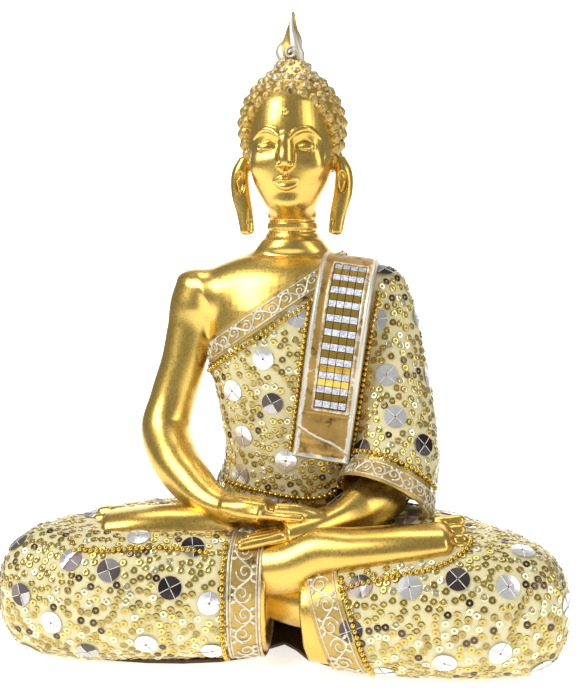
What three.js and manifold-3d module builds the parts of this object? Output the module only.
// A seated figure in meditation: painted castings dressed in sequinned cloth, bead chain,
// moulded bands and a mosaic sash. Millimetres, +Z up, facing -Y, resting on Z = 0.
import * as THREE from 'three';
import { mergeVertices } from 'three/addons/utils/BufferGeometryUtils.js';
import Module from 'manifold-3d';

// ---------------------------------------------------------------- driving dimensions
const HEIGHT = 300; // floor to the tip of the flame
const KNEE_SPAN = 252; // outside of one knee to the outside of the other
const DEPTH = 126; // front of the knees to the back of the seat

const FIT = 0.3; // gap left between pieces that are glued together
const WALL = 4.5; // wall of the hollow castings
const CLOTH = 1.2; // cloth with its glue and sequins
const FELT = 1.5; // felt sheet under the seat
const BEAD = 2.4; // diameter of the bead chain
const BAND = 1.9; // thickness of the moulded bands
const CUFF = 15; // width of the trouser cuff bands
const SLEEVE_CUFF = 11; // width of the sleeve cuff band
const NECKLINE = 10.5; // width of the neckline band

const SASH_WIDTH = 26.5;
const SASH = 3; // clearance cut above the recess
const SASH_ROOT = 16; // how deep the sash is carried before it is fitted to the body
const SEAM = 3; // half the gap between the robe and the sleeve cloth, hidden under the sash
const RECESS = 1.8; // depth of the recess for the mosaic
const TILE = 3.3; // side of a mosaic tile across the sash
const TILE_PITCH = 3.35; // row to row along the sash
const TILE_THICK = 0.9;
const TILE_COLUMNS = 4;
const TILE_ROWS = 21; // silver rows and gold rows by turns, silver at both ends
const GROUT = 0.35; // gap between tiles
const MOSAIC_ASIDE = 1.2; // how far the mosaic sits outwards of the middle of the sash
const BACKING = 0.4; // mesh sheet that the tiles are cemented to

const NECK_SPIGOT = 6; // radius of the spigot that joins the head to the torso
const ARM_SPIGOT = 4.5; // radius of the spigots that join the arms to the torso
const FLAME_PEG = 2; // radius of the peg that joins the flame to the head
const POUR_HOLE = 14; // radius of the hole under the seat, hidden by the felt

// ---------------------------------------------------------------- proportions
// The figure is drawn 252 wide, 126 deep and 300 tall, and stretched to the driving sizes.
const STRETCH = new THREE.Vector3(KNEE_SPAN / 252, DEPTH / 126, HEIGHT / 300);
const at = (x, y, z) => new THREE.Vector3(x, y, z).multiply(STRETCH);
const X = new THREE.Vector3(1, 0, 0);
const Y = new THREE.Vector3(0, 1, 0);
const Z = new THREE.Vector3(0, 0, 1);
const FLOOR = FELT + FIT; // underside of the castings

// Stations along a limb: [x, y, z, half width, half height] in the drawing's millimetres.
const TORSO = [
  [0, 24, 46, 36, 26], [0, 21, 62, 36.5, 25], [0, 18, 76, 34.5, 23], [0, 15, 90, 31, 21],
  [0, 14, 102, 32.5, 20.5], [0, 13, 116, 35, 21.5], [0, 12.5, 130, 38, 23], [0, 13, 143, 39.5, 24],
  [0, 14, 156, 41, 23.5], [0, 15, 167, 42, 21], [0, 17, 176, 38, 17.5], [0, 18, 182, 28, 14.5],
  [0, 18, 186, 19, 13.5], [0, 18, 190, 14.5, 13],
];
// From the base of the neck out to the point of the shoulder.
const SHOULDER = [[-10, 17, 174.5, 12, 9.5], [-27, 16, 168, 13.5, 11.5], [-40, 15, 163, 14, 13]];
const HIPS = [
  [-46, 27, 29, 29, 27], [-22, 28, 31, 31, 29], [0, 29, 31, 31, 30], [22, 28, 31, 31, 29],
  [46, 27, 29, 29, 27],
];
// A folded leg in its trouser, from the cuff to the knee, and the thigh back to the hip.
const RIGHT_SHANK = [
  [-4.5, -31, 31, 21, 26], [-32, -33, 31, 23.5, 27.5], [-60, -35, 31, 26.5, 28.5], [-84, -34, 30.5, 28.5, 29],
  [-102, -31, 30, 27.5, 28.5],
];
const LEFT_SHANK = [
  [15, -36, 23.5, 21.5, 20.5], [34, -38, 26, 23.5, 23.5], [58, -38, 28.5, 26.5, 27], [84, -36, 30, 28.5, 28.5],
  [102, -32, 29.5, 27.5, 28],
];
const RIGHT_THIGH = [[-94, -22, 31, 28, 29], [-66, 0, 33, 29, 30], [-36, 20, 32, 30, 30]];
const LEFT_THIGH = RIGHT_THIGH.map(([x, ...rest]) => [-x, ...rest]);
const RIGHT_SHIN = [
  [-34, -34, 42, 11, 12], [-12, -38, 43.5, 11.5, 12], [6, -41, 46.5, 11.5, 12], [20, -42, 52, 11, 12],
];
const LEFT_SHIN = [
  [36, -32, 26, 12, 12], [12, -27, 26, 12, 12], [-8, -22, 31, 12, 12], [-22, -20, 43, 11, 12],
  [-32, -22, 53, 11, 10],
];
// Each foot lies sole up on the other thigh: heel to the ball of the foot.
const RIGHT_FOOT = [
  [19, -42, 52, 11, 12], [36, -43, 54.5, 12, 10.5], [56, -43, 57.5, 12.5, 9.5], [73, -41, 59.5, 12, 8],
];
const LEFT_FOOT = [
  [-27, -22, 57, 10, 9.5], [-46, -28, 60, 12, 9.5], [-63, -31, 60.5, 12.5, 8.5],
  [-77, -31, 59.5, 12.5, 7.5],
];
const TOE = { length: 8, radius: 2.9, tip: 2.4, spread: 5.2 };

const RIGHT_ARM = [
  [-43, 15, 166, 15, 12.5], [-47, 15, 158, 13.5, 12.5], [-50, 14, 147, 11.5, 10.5], [-53.5, 13, 131, 11, 11],
  [-58.5, 11, 114, 11, 11], [-61, 7, 99, 12, 12],
];
const RIGHT_FOREARM = [
  [-61, 5, 96, 11.5, 12], [-54, -4, 86, 11.5, 12], [-45, -13, 78, 10.5, 11], [-36, -21, 72, 9, 9.5],
  [-27, -26, 69.5, 8, 8],
];
// The sleeve hangs from the shoulder and opens like a skirt over the forearm.
const SLEEVE = [
  [40, 16, 165, 15, 13], [43, 15, 156, 15.5, 14], [45.5, 14, 142, 16, 15.5], [47.5, 12, 126, 17.5, 17],
  [49, 9, 110, 19, 19], [50, 5, 95, 19.5, 20], [49, -2, 80, 20.5, 21], [46, -9, 69, 22, 23],
];
const LEFT_FOREARM = [
  [50, 4, 80, 11, 11], [44, -9, 72.5, 12, 12], [35, -19, 67.5, 10.5, 10.5], [24, -27, 65, 8.5, 8.5],
];
const RIGHT_PALM = [[-28, -26, 69.5, 7, 8], [-18, -28, 69.5, 5.5, 9.5], [-7, -29, 69.5, 4.8, 10]];
const LEFT_PALM = [[27, -26, 65, 7.4, 8], [15, -32, 62, 5.6, 10], [4, -35, 60.5, 4.8, 10.5]];
const FINGER = { length: 20, radius: 2.6, tip: 1.9, spread: 5 };
const RIGHT_THUMB = [[-24, -33, 70.5, 3.6, 3.6], [-15, -36, 71.5, 3.2, 3.2], [-6, -37, 71.2, 2.6, 2.6]];
const LEFT_THUMB = [[19, -34, 67, 3.6, 3.6], [9, -37, 70.5, 3.2, 3.2], [0.4, -37.5, 71.2, 2.6, 2.6]];

const SKULL = [
  [0, 13, 205, 7, 8], [0, 11.5, 209, 12.5, 14], [0, 11, 218, 17.5, 18.5], [0, 12, 230, 20.5, 22],
  [0, 13, 242, 21, 23.5], [0, 14, 253, 19.5, 22.5], [0, 15, 263, 14, 17],
];
const NECK = [[0, 18, 187.5, 15, 13.5], [0, 18, 194, 12.8, 12], [0, 17, 202, 12, 11.5], [0, 15, 212, 12, 12]];
const HAIR = [
  [0, 18, 226, 20.5, 18], [0, 18, 235, 23.5, 22.5], [0, 17.5, 246, 25, 25.5], [0, 17, 256, 22.5, 24],
  [0, 17, 264, 17, 18.5], [0, 17, 271, 10, 11], [0, 17, 275.5, 6.5, 6.5],
];
const HAIRLINE = 258; // height of the hair's edge on the forehead
const EAR = [
  [22.5, 17, 229, 5.5, 3], [24.5, 16, 224, 7, 3.2], [24.5, 15, 215, 5.5, 3], [23.5, 13.5, 205, 4.6, 2.6],
  [22.5, 13, 197, 4.2, 2.6],
];
const NOSE = [[0, -8, 243, 1.8, 2.4], [0, -10.5, 236, 2.4, 2.8], [0, -12, 229.5, 3.4, 3]];
const FLAME = [
  [0, 17, 275, 5.5, 5], [-0.4, 17, 280, 6.6, 5.4], [0.3, 17, 285.5, 4.8, 4.2], [-0.2, 17, 291, 2.6, 2.4],
  [0.1, 17, 296.5, 1.2, 1.1],
];

// The sash's front face seen from its side: [y, distance up the sash from its foot].
const SASH_PROFILE = [
  [-16, 0], [-15, 15], [-15, 32], [-16, 48], [-15.5, 62], [-13.5, 72.5], [-10, 81.5], [-4, 89],
  [4, 93.5], [13, 95], [24, 93], [34, 84.5],
];
const RECESS_START = 24.5; // from the sash's foot to the recess, along its face

// ---------------------------------------------------------------- solids
const wasm = await Module();
wasm.setup();

function solidOf(geometry) {
  const bare = geometry.index ? geometry.toNonIndexed() : geometry.clone();
  bare.deleteAttribute('normal');
  bare.deleteAttribute('uv');
  const merged = mergeVertices(bare, 1e-4);
  return new wasm.Manifold(new wasm.Mesh({
    numProp: 3,
    vertProperties: new Float32Array(merged.attributes.position.array),
    triVerts: new Uint32Array(merged.index.array),
  }));
}

function geometryOf(solid) {
  const { numProp, vertProperties, triVerts } = solid.getMesh();
  const positions = new Float32Array((vertProperties.length / numProp) * 3);
  for (let i = 0; i < positions.length / 3; i += 1) {
    positions.set(vertProperties.subarray(i * numProp, i * numProp + 3), i * 3);
  }
  return new THREE.BufferGeometry()
    .setAttribute('position', new THREE.BufferAttribute(positions, 3))
    .setIndex(new THREE.BufferAttribute(new Uint32Array(triVerts), 1));
}

const union = (...solids) => solids.flat().reduce((a, b) => a.add(b));
const cut = (solid, ...tools) => tools.flat().reduce((a, b) => a.subtract(b), solid);
const largest = (solid) => solid.decompose().reduce((a, b) => (a.volume() > b.volume() ? a : b));

// A skin over rings of points, closed by a point at each end, moved outwards by offset.
function skin(rings, poles, offset = 0) {
  const sides = rings[0].length;
  const points = [poles[0], ...rings.flat(), poles[1]];
  const last = points.length - 1;
  const ringStart = (r) => 1 + r * sides;
  const index = [];
  for (let i = 0; i < sides; i += 1) {
    const next = (i + 1) % sides;
    index.push(0, ringStart(0) + next, ringStart(0) + i);
    index.push(last, ringStart(rings.length - 1) + i, ringStart(rings.length - 1) + next);
    for (let r = 0; r < rings.length - 1; r += 1) {
      const [a, b] = [ringStart(r) + i, ringStart(r) + next];
      const [c, d] = [ringStart(r + 1) + i, ringStart(r + 1) + next];
      index.push(a, b, c, b, d, c);
    }
  }
  const geometry = new THREE.BufferGeometry().setFromPoints(points).setIndex(index);
  geometry.computeVertexNormals();
  const { position, normal } = geometry.attributes;
  for (let i = 0; i < position.count; i += 1) {
    position.setXYZ(
      i,
      position.getX(i) + normal.getX(i) * offset,
      position.getY(i) + normal.getY(i) * offset,
      position.getZ(i) + normal.getZ(i) * offset,
    );
  }
  const solid = solidOf(geometry);
  if (solid.volume() < 0) throw new Error('a skin is inside out');
  return solid;
}

const CAPS = [Math.PI / 3, Math.PI / 6]; // rings of a limb's rounded ends
const ONE_CAP = [Math.PI / 5];

// A limb through stations. Each ring's half height lies along up and its half width across it.
// round is how far each end bulges past its last station. square above 2 fills out the corners.
function limb(stations, {
  up = Z, sides = 12, rings = 6, round = [3, 3], offset = 0, caps = CAPS, square = 2,
} = {}) {
  const full = (v) => Math.sign(v) * Math.abs(v) ** (2 / square);
  const path = new THREE.CatmullRomCurve3(stations.map(([x, y, z]) => new THREE.Vector3(x, y, z)));
  const sizes = new THREE.CatmullRomCurve3(stations.map(([, , , w, h]) => new THREE.Vector3(w, h, 0)));
  const ring = (t, along, shrink) => {
    const tangent = path.getTangent(t);
    const centre = path.getPoint(t).addScaledVector(tangent, along);
    const { x: wide, y: tall } = sizes.getPoint(t);
    const high = up.clone().addScaledVector(tangent, -up.dot(tangent)).normalize();
    const side = new THREE.Vector3().crossVectors(high, tangent);
    return Array.from({ length: sides }, (_, i) => {
      const angle = (2 * Math.PI * i) / sides;
      return centre.clone()
        .addScaledVector(side, wide * shrink * full(Math.cos(angle)))
        .addScaledVector(high, tall * shrink * full(Math.sin(angle)))
        .multiply(STRETCH);
    });
  };
  const all = [
    ...caps.map((a) => ring(0, -round[0] * full(Math.sin(a)), full(Math.cos(a)))),
    ...Array.from({ length: rings }, (_, i) => ring(i / (rings - 1), 0, 1)),
    ...caps.toReversed().map((a) => ring(1, round[1] * full(Math.sin(a)), full(Math.cos(a)))),
  ];
  const poles = [0, 1].map((t) => path.getPoint(t)
    .addScaledVector(path.getTangent(t), t ? round[1] : -round[0])
    .multiply(STRETCH));
  return skin(all, poles, offset);
}

// Everything on the far side of a plane, as a block large enough to cut any piece.
function beyond(point, normal) {
  const size = 4 * Math.max(HEIGHT, KNEE_SPAN, DEPTH);
  const geometry = new THREE.BoxGeometry(size, size, size).translate(0, 0, size / 2);
  geometry.applyQuaternion(new THREE.Quaternion().setFromUnitVectors(Z, normal.clone().normalize()));
  geometry.translate(point.x, point.y, point.z);
  return solidOf(geometry);
}

function rod(from, to, radius, sides = 16) {
  const along = to.clone().sub(from);
  const geometry = new THREE.CylinderGeometry(radius, radius, along.length(), sides)
    .rotateX(Math.PI / 2)
    .translate(0, 0, along.length() / 2);
  geometry.applyQuaternion(new THREE.Quaternion().setFromUnitVectors(Z, along.normalize()));
  geometry.translate(from.x, from.y, from.z);
  return solidOf(geometry);
}

// ---------------------------------------------------------------- the body's forms
const mirrored = (stations) => stations.map(([x, ...rest]) => [-x, ...rest]);
const torso = (offset = 0) => union(
  limb(TORSO, { up: Y, sides: 18, rings: 10, round: [0.1, 0.1], offset, caps: [] }),
  [SHOULDER, mirrored(SHOULDER)].map((stations) => limb(stations, {
    sides: 10, rings: 3, offset, caps: ONE_CAP,
  })),
);
const hips = (offset = 0) => limb(HIPS, { sides: 12, rings: 3, round: [9, 9], offset, caps: ONE_CAP });
const shank = (stations, offset) => limb(stations, {
  sides: 16, rings: 5, round: [0.1, 25], offset, square: 2.4,
});
const thigh = (stations, offset) => limb(stations, {
  sides: 12, rings: 3, round: [16, 10], offset, caps: ONE_CAP,
});
const rightTrouser = (offset = 0) => union(shank(RIGHT_SHANK, offset), thigh(RIGHT_THIGH, offset));
const leftTrouser = (offset = 0) => union(shank(LEFT_SHANK, offset), thigh(LEFT_THIGH, offset));
const seat = (offset = 0) => union(hips(offset), rightTrouser(offset), leftTrouser(offset));
const sleeve = (offset = 0) => limb(SLEEVE, { up: Y, sides: 14, rings: 7, round: [12, 0.1], offset });

// Toes or fingers: a row of short limbs fanned across an end, pointing along the last stretch.
function digits(stations, count, { length, radius, tip, spread }, across, offset) {
  const [from, to] = stations.slice(-2).map(([x, y, z]) => new THREE.Vector3(x, y, z));
  const ahead = to.clone().sub(from).normalize();
  return Array.from({ length: count }, (_, i) => {
    const aside = across.clone().multiplyScalar((i - (count - 1) / 2) * spread);
    const reach = length * (1 - 0.1 * Math.abs(i - 1));
    const [a, b] = [-4, reach].map((d) => to.clone().addScaledVector(ahead, d).add(aside));
    return limb([[...a, radius, radius], [...b, tip, tip]], {
      up: across, sides: 6, rings: 2, round: [1, tip], offset, caps: ONE_CAP,
    });
  });
}

const RIGHT_TOES_ACROSS = new THREE.Vector3(0.1, 0.75, 0.62).normalize();
const LEFT_TOES_ACROSS = new THREE.Vector3(-0.1, 0.9, 0.42).normalize();
const rightLowerLeg = (offset = 0) => union(
  limb(RIGHT_SHIN, { rings: 4, offset, caps: ONE_CAP }),
  limb(RIGHT_FOOT, { rings: 4, round: [8, 5], offset, caps: ONE_CAP }),
  digits(RIGHT_FOOT, 5, TOE, RIGHT_TOES_ACROSS, offset),
);
const leftLowerLeg = (offset = 0) => union(
  limb(LEFT_SHIN, { rings: 5, offset, caps: ONE_CAP }),
  limb(LEFT_FOOT, { rings: 4, round: [8, 5], offset, caps: ONE_CAP }),
  digits(LEFT_FOOT, 5, TOE, LEFT_TOES_ACROSS, offset),
);
const rightArm = (offset = 0) => union(
  limb(RIGHT_ARM, { up: Y, sides: 12, rings: 6, round: [10, 7], offset }),
  limb(RIGHT_FOREARM, { up: Y, sides: 12, rings: 5, round: [7, 3], offset, caps: ONE_CAP }),
);
const thumb = (stations, offset) => limb(stations, {
  sides: 7, rings: 3, round: [2, 2.2], offset, caps: ONE_CAP,
});
const rightHand = (offset = 0) => union(
  limb(RIGHT_PALM, { up: Y, sides: 10, rings: 3, round: [4, 3], offset, caps: ONE_CAP }),
  digits(RIGHT_PALM, 4, FINGER, Y, offset),
  thumb(RIGHT_THUMB, offset),
);
const leftHand = (offset = 0) => union(
  limb(LEFT_PALM, { up: Y, sides: 10, rings: 3, round: [4, 3], offset, caps: ONE_CAP }),
  digits(LEFT_PALM, 4, FINGER, new THREE.Vector3(0.2, 0.96, 0.15).normalize(), offset),
  thumb(LEFT_THUMB, offset),
);
const leftForearm = (offset = 0) => limb(LEFT_FOREARM, {
  up: Y, sides: 12, rings: 4, round: [4, 3], offset, caps: ONE_CAP,
});
const feet = (offset) => [rightLowerLeg(offset), leftLowerLeg(offset)];

const underFloor = beyond(new THREE.Vector3(0, 0, FLOOR), Z.clone().negate());

// ---------------------------------------------------------------- where things are cut
const keepWithin = (point, normal) => beyond(point, normal.clone().normalize().negate());

// The neckline runs from under the right arm up to the left shoulder, the same at the back.
const NECKLINE_LOW = at(0, 0, 157.3);
const NECKLINE_UP = new THREE.Vector3(-0.56, 0, 0.83).normalize();
const necklineAt = (rise) => NECKLINE_LOW.clone().addScaledVector(NECKLINE_UP, rise);
const aboveNeckline = (rise) => beyond(necklineAt(rise), NECKLINE_UP);
const belowNeckline = (rise) => keepWithin(necklineAt(rise), NECKLINE_UP);

// The sash's centre line leans outwards. The robe and the sleeve cloth meet under it.
const SASH_FOOT = at(17, 0, 89.5);
const SASH_UP = at(29.6, 0, 185).sub(SASH_FOOT).normalize();
const SASH_SIDE = new THREE.Vector3().crossVectors(Y, SASH_UP).normalize();
const sashLine = (aside) => SASH_FOOT.clone().addScaledVector(SASH_SIDE, aside);
const sleeveSide = (aside) => beyond(sashLine(aside), SASH_SIDE);
const robeSide = (aside) => keepWithin(sashLine(aside), SASH_SIDE);

// The hem of the robe, the sleeve's opening and the cuffs.
const HEM = at(0, 0, 66);
const SLEEVE_END = at(46, -9, 70);
const SLEEVE_UP = new THREE.Vector3(0.36, 0.5, 0.79).normalize();
const sleeveAt = (rise) => SLEEVE_END.clone().addScaledVector(SLEEVE_UP, rise);
const belowSleeve = (rise) => keepWithin(sleeveAt(rise), SLEEVE_UP);
const aboveSleeve = (rise) => beyond(sleeveAt(rise), SLEEVE_UP);
const RIGHT_CUFF = { edge: at(-5, 0, 0), out: new THREE.Vector3(-1, 0, 0) };
const LEFT_CUFF = { edge: at(14.8, 0, 40), out: new THREE.Vector3(0.951, 0, 0.309).normalize() };
const cuffEnd = ({ edge, out }, reach) => edge.clone().addScaledVector(out, reach);
const pastCuff = (cuff, reach) => beyond(cuffEnd(cuff, reach), cuff.out);
const beforeCuff = (cuff, reach) => keepWithin(cuffEnd(cuff, reach), cuff.out);

// ---------------------------------------------------------------- castings
const NECK_JOINT = at(0, 18, 190);
const ARM_JOINT = at(33, 15, 163);
const aboveNeckJoint = (rise) => beyond(NECK_JOINT.clone().setZ(NECK_JOINT.z + rise), Z);
const neckSpigot = (extra) => rod(
  NECK_JOINT.clone().setZ(NECK_JOINT.z - 15 - extra),
  NECK_JOINT.clone().setZ(NECK_JOINT.z + 10),
  NECK_SPIGOT + extra,
);

function armSpigot(side, extra) {
  const inner = new THREE.Vector3(side * (ARM_JOINT.x - extra), ARM_JOINT.y, ARM_JOINT.z);
  const outer = new THREE.Vector3(side * (ARM_JOINT.x + 14), ARM_JOINT.y, ARM_JOINT.z);
  return rod(inner, outer, ARM_SPIGOT + extra, 12);
}

function legsCasting() {
  const cavity = cut(
    union(hips(-WALL), thigh(RIGHT_THIGH, -WALL), thigh(LEFT_THIGH, -WALL)),
    torso(FIT + WALL),
    keepWithin(new THREE.Vector3(0, 0, FLOOR + WALL), Z),
  );
  const hole = rod(at(0, 27, -5), at(0, 27, 20), POUR_HOLE, 20);
  return largest(cut(union(seat(), rightLowerLeg(), leftLowerLeg()), cavity, hole, torso(FIT), underFloor));
}

function torsoCasting() {
  const cavity = limb(TORSO.slice(2, 11), {
    up: Y, sides: 14, rings: 7, round: [4, 0.1], offset: -WALL, caps: [],
  });
  const open = rod(at(0, 20, 30), at(0, 20, 90), POUR_HOLE, 20);
  return largest(cut(
    torso(), cavity, open, neckSpigot(FIT), armSpigot(-1, FIT), armSpigot(1, FIT), aboveNeckJoint(0),
  ));
}

function rightArmCasting() {
  const clear = cut(union(rightArm(), rightHand()), torso(FIT), ...feet(FIT), seat(FIT));
  return largest(union(clear, armSpigot(-1, 0)));
}

function leftArmCasting() {
  const clear = cut(
    union(cut(sleeve(), belowSleeve(WALL)), leftForearm(), leftHand()),
    torso(FIT), rightHand(FIT), ...feet(FIT), seat(FIT),
  );
  return largest(union(clear, armSpigot(1, 0)));
}

function hair() {
  // The hair's edge rises from behind the ears to the hairline on the forehead.
  const face = beyond(at(0, -5, HAIRLINE), new THREE.Vector3(0, -0.86, -0.51));
  return cut(limb(HAIR, { up: Y, sides: 16, rings: 6, round: [2, 1.5], caps: ONE_CAP }), face);
}

function headCasting() {
  const skull = limb(SKULL, { up: Y, sides: 16, rings: 7, round: [1, 2], caps: ONE_CAP });
  const neck = limb(NECK, { up: Y, sides: 16, rings: 4, round: [0.1, 0.1], caps: [] });
  const clearNeck = cut(neck, keepWithin(NECK_JOINT.clone().setZ(NECK_JOINT.z + FIT), Z));
  const ears = [EAR, mirrored(EAR)].map((stations) => limb(stations, {
    up: X, sides: 8, rings: 5, round: [2, 2], caps: ONE_CAP,
  }));
  const nose = limb(NOSE, { up: Y, sides: 8, rings: 3, round: [1.5, 1.5], caps: ONE_CAP });
  return largest(cut(union(skull, clearNeck, hair(), ears, nose, neckSpigot(0)), flame(FIT), flamePeg(FIT)));
}

const flame = (offset = 0) => limb(FLAME, {
  up: Y, sides: 10, rings: 7, round: [1, 3], offset, caps: ONE_CAP,
});
const flamePeg = (extra) => rod(
  at(0, 17, 267).setZ(at(0, 0, 267).z - extra),
  at(0, 17, 277),
  FLAME_PEG + extra,
  10,
);

// ---------------------------------------------------------------- cloth, bands, felt
const shell = (form, inner, thick) => cut(form(inner + thick), form(inner));

function robeCloth() {
  return largest(cut(
    shell(torso, FIT, CLOTH),
    aboveNeckline(-FIT), sleeveSide(-SEAM), keepWithin(HEM, Z),
    rightArm(FIT), rightHand(FIT), leftHand(FIT), leftForearm(FIT), seat(FIT), ...feet(FIT),
  ));
}

function sleeveCloth() {
  const dressed = (offset) => union(torso(offset), sleeve(offset));
  const collar = rod(NECK_JOINT.clone().setZ(0), NECK_JOINT.clone().setZ(HEIGHT), SASH_WIDTH * 0.7);
  return largest(cut(
    shell(dressed, FIT, CLOTH),
    robeSide(SEAM), belowSleeve(SLEEVE_CUFF + FIT), keepWithin(HEM, Z), collar, seat(FIT), leftForearm(FIT),
  ));
}

function necklineBand() {
  return largest(cut(
    shell(torso, FIT, BAND), belowNeckline(0), aboveNeckline(NECKLINE), sleeveSide(-SEAM), rightArm(FIT),
  ));
}

function sleeveCuffBand() {
  return largest(cut(
    shell(sleeve, FIT, BAND),
    belowSleeve(0), aboveSleeve(SLEEVE_CUFF), torso(2 * FIT + CLOTH), sashKeepOut(), sashOuterBeads(FIT),
    leftForearm(FIT), rightHand(FIT), leftHand(FIT), seat(2 * FIT + CLOTH), ...feet(FIT),
  ));
}

// A trouser leg and its half of the seat, from the cuff round to the middle of the back.
function trouserCloth(side, cuff, trouser, otherTrouser) {
  return largest(cut(
    shell((offset) => union(trouser(offset), hips(offset)), FIT, CLOTH),
    beforeCuff(cuff, CUFF + FIT), beyond(at(0.5 * FIT * side, 0, 0), X.clone().multiplyScalar(-side)),
    otherTrouser(FIT), torso(2 * FIT + CLOTH), underFloor,
    rightArm(FIT), rightHand(FIT), leftHand(FIT), leftForearm(FIT), sleeve(2 * FIT + BAND), ...feet(FIT),
  ));
}

function cuffBand(cuff, stations, ownThigh) {
  return largest(cut(
    shell((offset) => shank(stations, offset), FIT, BAND),
    beforeCuff(cuff, 0), pastCuff(cuff, CUFF), underFloor, hips(2 * FIT + CLOTH), thigh(ownThigh, FIT),
    rightHand(FIT), leftHand(FIT), rightArm(FIT), leftForearm(FIT), ...feet(FIT), rightFootBeads(FIT),
  ));
}

// The felt follows the underside of the castings, a little inside their outline.
function baseFelt() {
  const half = [[0, -12], [16, -34], [50, -44], [88, -40], [104, -22], [92, 0], [60, 28], [30, 46], [0, 50]];
  const outline = [...half, ...half.slice(1, -1).reverse().map(([x, y]) => [-x, y])];
  const curve = new THREE.CatmullRomCurve3(outline.map(([x, y]) => at(x, y, 0)), true);
  const shape = new THREE.Shape(curve.getPoints(36).slice(0, -1).map(({ x, y }) => new THREE.Vector2(x, y)));
  return solidOf(new THREE.ExtrudeGeometry(shape, { depth: FELT, bevelEnabled: false }));
}

// ---------------------------------------------------------------- the sash and its mosaic
const SASH_CURVE = new THREE.CatmullRomCurve3(SASH_PROFILE.map(([y, up]) => new THREE.Vector3(
  0,
  y * STRETCH.y,
  up * STRETCH.z,
)));
const SASH_LENGTH = SASH_CURVE.getLength();

// A point of the sash's face: its distance along the face, and how far it stands off it.
function sashPoint(along, off) {
  const u = along / SASH_LENGTH;
  const { y, z } = SASH_CURVE.getPointAt(u);
  const tangent = SASH_CURVE.getTangentAt(u);
  return new THREE.Vector2(y - tangent.z * off, z + tangent.y * off);
}

// A solid between two distances from the sash's face, as wide as asked, from one place to another.
function sashSlab(from, to, inner, outer, width, steps, aside = 0) {
  const places = Array.from({ length: steps + 1 }, (_, i) => from + ((to - from) * i) / steps);
  const shape = new THREE.Shape([
    ...places.map((s) => sashPoint(s, outer)),
    ...places.toReversed().map((s) => sashPoint(s, inner)),
  ]);
  const geometry = new THREE.ExtrudeGeometry(shape, { depth: width, bevelEnabled: false })
    .translate(0, 0, aside - width / 2);
  const basis = new THREE.Matrix4().makeBasis(Y, SASH_UP, new THREE.Vector3().crossVectors(Y, SASH_UP));
  return solidOf(geometry.applyMatrix4(basis).translate(SASH_FOOT.x, SASH_FOOT.y, SASH_FOOT.z));
}

const MOSAIC_WIDTH = TILE_COLUMNS * TILE + (TILE_COLUMNS - 1) * GROUT;
const MOSAIC_LENGTH = TILE_ROWS * TILE_PITCH;
const recess = () => sashSlab(
  RECESS_START - FIT, RECESS_START + MOSAIC_LENGTH, -RECESS, SASH, MOSAIC_WIDTH + 2 * FIT, TILE_ROWS,
  MOSAIC_ASIDE,
);

function shoulderSash() {
  const block = sashSlab(0, SASH_LENGTH, -SASH_ROOT, 0, SASH_WIDTH, 22);
  return largest(cut(
    block, recess(), torso(2 * FIT + CLOTH), sleeve(2 * FIT + CLOTH), necklineBlock(), leftForearm(FIT),
    rightHand(FIT),
  ));
}

const necklineBlock = () => cut(
  torso(2 * FIT + BAND),
  sleeveSide(-SEAM + FIT), belowNeckline(-FIT), aboveNeckline(NECKLINE + FIT),
);

// One row of tiles on its strip of backing, across the recess.
function mosaicRow(row) {
  const half = MOSAIC_WIDTH / 2;
  const top = BACKING + TILE_THICK;
  const tops = Array.from({ length: TILE_COLUMNS }, (_, i) => half - i * (TILE + GROUT)).flatMap((x) => [
    [x, BACKING], [x, top], [x - TILE, top], [x - TILE, BACKING],
  ]);
  const corners = [[-half, 0], [half, 0], ...tops.slice(1, -1)];
  const shape = new THREE.Shape(corners.map(([x, y]) => new THREE.Vector2(x, y)));
  const length = TILE_PITCH - FIT;
  const geometry = new THREE.ExtrudeGeometry(shape, { depth: length, bevelEnabled: false })
    .translate(0, 0, -length / 2);
  const along = RECESS_START + (row + 0.5) * TILE_PITCH;
  const place = sashPoint(along, -RECESS + FIT);
  const tangent = SASH_CURVE.getTangentAt(along / SASH_LENGTH);
  const run = Y.clone().multiplyScalar(tangent.y).addScaledVector(SASH_UP, tangent.z);
  const outward = Y.clone().multiplyScalar(-tangent.z).addScaledVector(SASH_UP, tangent.y);
  const across = new THREE.Vector3().crossVectors(outward, run);
  geometry.applyMatrix4(new THREE.Matrix4().makeBasis(across, outward, run));
  const centre = sashLine(MOSAIC_ASIDE).addScaledVector(Y, place.x).addScaledVector(SASH_UP, place.y);
  return solidOf(geometry.translate(centre.x, centre.y, centre.z));
}

// ---------------------------------------------------------------- bead chains
const CHAIN_OFF = 2 * FIT + CLOTH + BEAD / 2; // centre of a chain above the casting under it

// A chain through guide points, each pressed along a direction on to the dressed form.
function chain(form, guides, direction, steps, clear = [], extra = 0) {
  const bothSides = new THREE.MeshBasicMaterial({ side: THREE.DoubleSide });
  const target = new THREE.Mesh(geometryOf(form(CHAIN_OFF)), bothSides);
  const path = guides.length > 2 ? new THREE.CatmullRomCurve3(guides) : new THREE.LineCurve3(...guides);
  const points = path.getPoints(steps).flatMap((guide) => {
    const start = guide.clone().addScaledVector(direction, -HEIGHT);
    const [hit] = new THREE.Raycaster(start, direction).intersectObject(target);
    return hit ? [hit.point] : [];
  });
  const round = new THREE.Shape(Array.from({ length: 6 }, (_, i) => new THREE.Vector2(BEAD / 2 + extra, 0)
    .rotateAround(new THREE.Vector2(), (i * Math.PI) / 3)));
  const tube = new THREE.ExtrudeGeometry(round, {
    steps: points.length - 1,
    extrudePath: new THREE.CatmullRomCurve3(points),
    bevelEnabled: false,
  });
  return largest(cut(solidOf(tube), ...clear));
}

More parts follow.
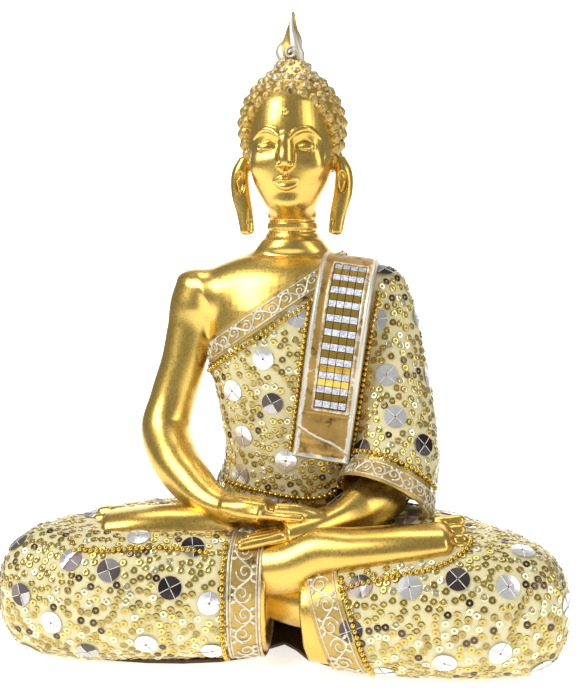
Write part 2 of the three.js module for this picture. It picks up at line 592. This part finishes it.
const front = (points) => points.map(([x, z]) => at(x, 0, z));
const alongPlane = (centre, direction, from, to) => [from, to].map(
  (t) => centre.clone().addScaledVector(direction, t),
);
const necklineRun = new THREE.Vector3().crossVectors(Y, NECKLINE_UP);

function necklineBeads() {
  const line = alongPlane(necklineAt(-BEAD), necklineRun, -44, 9.5);
  return chain(torso, line, Y, 9, [
    sashKeepOut(), sashInnerBeads(FIT), rightArm(FIT), torso(2 * FIT + CLOTH),
  ]);
}

const sashKeepOut = () => sashSlab(0, SASH_LENGTH, -SASH_ROOT, BEAD, SASH_WIDTH + 2 * FIT, 22);

function sashBeads(side, from, to, extra = 0) {
  const aside = side * (SASH_WIDTH / 2 + BEAD / 2 + 2 * FIT);
  const form = side < 0 ? torso : (offset) => union(torso(offset), sleeve(offset));
  const line = alongPlane(sashLine(aside), SASH_UP, from, to);
  return chain(form, line, Y, 10, [sashKeepOut(), form(2 * FIT + CLOTH)], extra);
}
const sashInnerBeads = (extra = 0) => sashBeads(-1, 2, 68, extra);
const sashOuterBeads = (extra = 0) => sashBeads(1, 3, 80, extra);

// The robe's lower edge, across and up, round to the foot of the sash.
const ROBE_HEM_GUIDES = [
  [-30, 74.5], [-14, 72.5], [2, 70], [15, 69.5], [22.5, 72.5], [25.5, 79.5], [22, 87], [10, 90],
];
function robeHemBeads() {
  return chain(torso, front(ROBE_HEM_GUIDES), Y, 14, [
    rightHand(FIT), leftHand(FIT), leftForearm(FIT), rightArm(FIT), ...feet(FIT),
    sleeve(2 * FIT + BAND), torso(2 * FIT + CLOTH), sashKeepOut(),
  ]);
}

function sleeveCuffBeads() {
  const run = new THREE.Vector3().crossVectors(Y, SLEEVE_UP).normalize();
  const line = alongPlane(sleeveAt(SLEEVE_CUFF + BEAD / 2 + 2 * FIT), run, -17, 24);
  return chain(sleeve, line, new THREE.Vector3(0, 0.83, -0.56), 10, [
    sashKeepOut(), sashOuterBeads(FIT), sleeve(2 * FIT + CLOTH), torso(2 * FIT + CLOTH),
    seat(2 * FIT + CLOTH),
  ]);
}

function cuffBeads(cuff, stations, heights) {
  const reach = cuffEnd(cuff, CUFF + BEAD / 2 + 2 * FIT);
  const run = new THREE.Vector3().crossVectors(cuff.out, Y).normalize();
  const level = (z) => reach.clone().addScaledVector(run, (z - reach.z) / run.z);
  return chain((offset) => shank(stations, offset), heights.map((z) => level(z * STRETCH.z)), Y, 9, [
    ...feet(FIT), rightHand(FIT), leftHand(FIT), shank(stations, 2 * FIT + CLOTH), underFloor,
    rightFootBeads(FIT), leftFootBeads(FIT),
  ]);
}

// A chain round the near side of a foot, where it sinks into the cloth of the leg below it.
const RIGHT_FOOT_GUIDES = [
  [12, -62, 35], [34, -60, 44], [54, -60, 49], [72, -57, 52], [84, -48, 58], [86, -38, 62],
];
const LEFT_FOOT_GUIDES = [
  [-30, -50, 53], [-46, -50, 53.5], [-62, -52, 52.5], [-76, -53, 51], [-88, -52, 50.5],
];
function footBeads(guides, trouser, extra = 0) {
  return chain(trouser, guides.map(([x, y, z]) => at(x, y, z)), new THREE.Vector3(0, 0.7, -0.71), 10, [
    ...feet(FIT), trouser(2 * FIT + CLOTH), rightHand(FIT), leftHand(FIT), leftForearm(FIT), rightArm(FIT),
    sleeve(2 * FIT + BAND),
  ], extra);
}
const rightFootBeads = (extra = 0) => footBeads(RIGHT_FOOT_GUIDES, leftTrouser, extra);
const leftFootBeads = (extra = 0) => footBeads(LEFT_FOOT_GUIDES, rightTrouser, extra);

// ---------------------------------------------------------------- scene graph
const paint = (color, roughness, metalness) => new THREE.MeshStandardMaterial({
  color, roughness, metalness,
});
const MATERIALS = {
  gold: paint(0xd9a23c, 0.28, 1),
  silvered: paint(0xd8cfb4, 0.4, 0.8),
  cloth: paint(0xe6dba6, 0.6, 0),
  bead: paint(0xc9a94e, 0.25, 1),
  sash: paint(0xc08a3e, 0.4, 0.8),
  mirror: paint(0xe0a020, 0.1, 1),
  glitter: paint(0xd9dbe0, 0.5, 0.3),
  felt: paint(0x5a4632, 0.95, 0),
};

const statue = new THREE.Group();
function place(name, solid, material) {
  const mesh = new THREE.Mesh(geometryOf(solid), material);
  mesh.name = name;
  statue.add(mesh);
  return mesh;
}

place('base_felt', baseFelt(), MATERIALS.felt);
place('legs_casting', legsCasting(), MATERIALS.gold);
place('torso_casting', torsoCasting(), MATERIALS.gold);
place('right_arm_casting', rightArmCasting(), MATERIALS.gold);
place('left_arm_casting', leftArmCasting(), MATERIALS.gold);
place('head_casting', headCasting(), MATERIALS.gold);
place('flame_finial', union(flame(), flamePeg(0)), MATERIALS.silvered);
place('robe_cloth', robeCloth(), MATERIALS.cloth);
place('sleeve_cloth', sleeveCloth(), MATERIALS.cloth);
place('right_trouser_cloth', trouserCloth(-1, RIGHT_CUFF, rightTrouser, leftTrouser), MATERIALS.cloth);
place('left_trouser_cloth', trouserCloth(1, LEFT_CUFF, leftTrouser, rightTrouser), MATERIALS.cloth);
place('neckline_band', necklineBand(), MATERIALS.silvered);
place('sleeve_cuff_band', sleeveCuffBand(), MATERIALS.silvered);
place('right_cuff_band', cuffBand(RIGHT_CUFF, RIGHT_SHANK, RIGHT_THIGH), MATERIALS.silvered);
place('left_cuff_band', cuffBand(LEFT_CUFF, LEFT_SHANK, LEFT_THIGH), MATERIALS.silvered);
place('shoulder_sash', shoulderSash(), MATERIALS.sash);
place('neckline_beads', necklineBeads(), MATERIALS.bead);
place('sash_inner_beads', sashInnerBeads(), MATERIALS.bead);
place('sash_outer_beads', sashOuterBeads(), MATERIALS.bead);
place('robe_hem_beads', robeHemBeads(), MATERIALS.bead);
place('sleeve_cuff_beads', sleeveCuffBeads(), MATERIALS.bead);
place('right_cuff_beads', cuffBeads(RIGHT_CUFF, RIGHT_SHANK, [8, 20, 32, 44, 54]), MATERIALS.bead);
place('left_cuff_beads', cuffBeads(LEFT_CUFF, LEFT_SHANK, [6, 16, 28, 40]), MATERIALS.bead);
place('right_foot_beads', rightFootBeads(), MATERIALS.bead);
place('left_foot_beads', leftFootBeads(), MATERIALS.bead);
for (let row = 0; row < TILE_ROWS; row += 1) {
  const silver = row % 2 === 0;
  const number = String(row + 1).padStart(2, '0');
  const name = `mosaic_${silver ? 'silver' : 'gold'}_row_${number}`;
  place(name, mosaicRow(row), silver ? MATERIALS.glitter : MATERIALS.mirror);
}

// The frame's origin is under the middle of the whole, on the floor.
const whole = new THREE.Box3().setFromObject(statue, true).getCenter(new THREE.Vector3());
statue.position.set(-whole.x, -whole.y, 0);

export default statue;
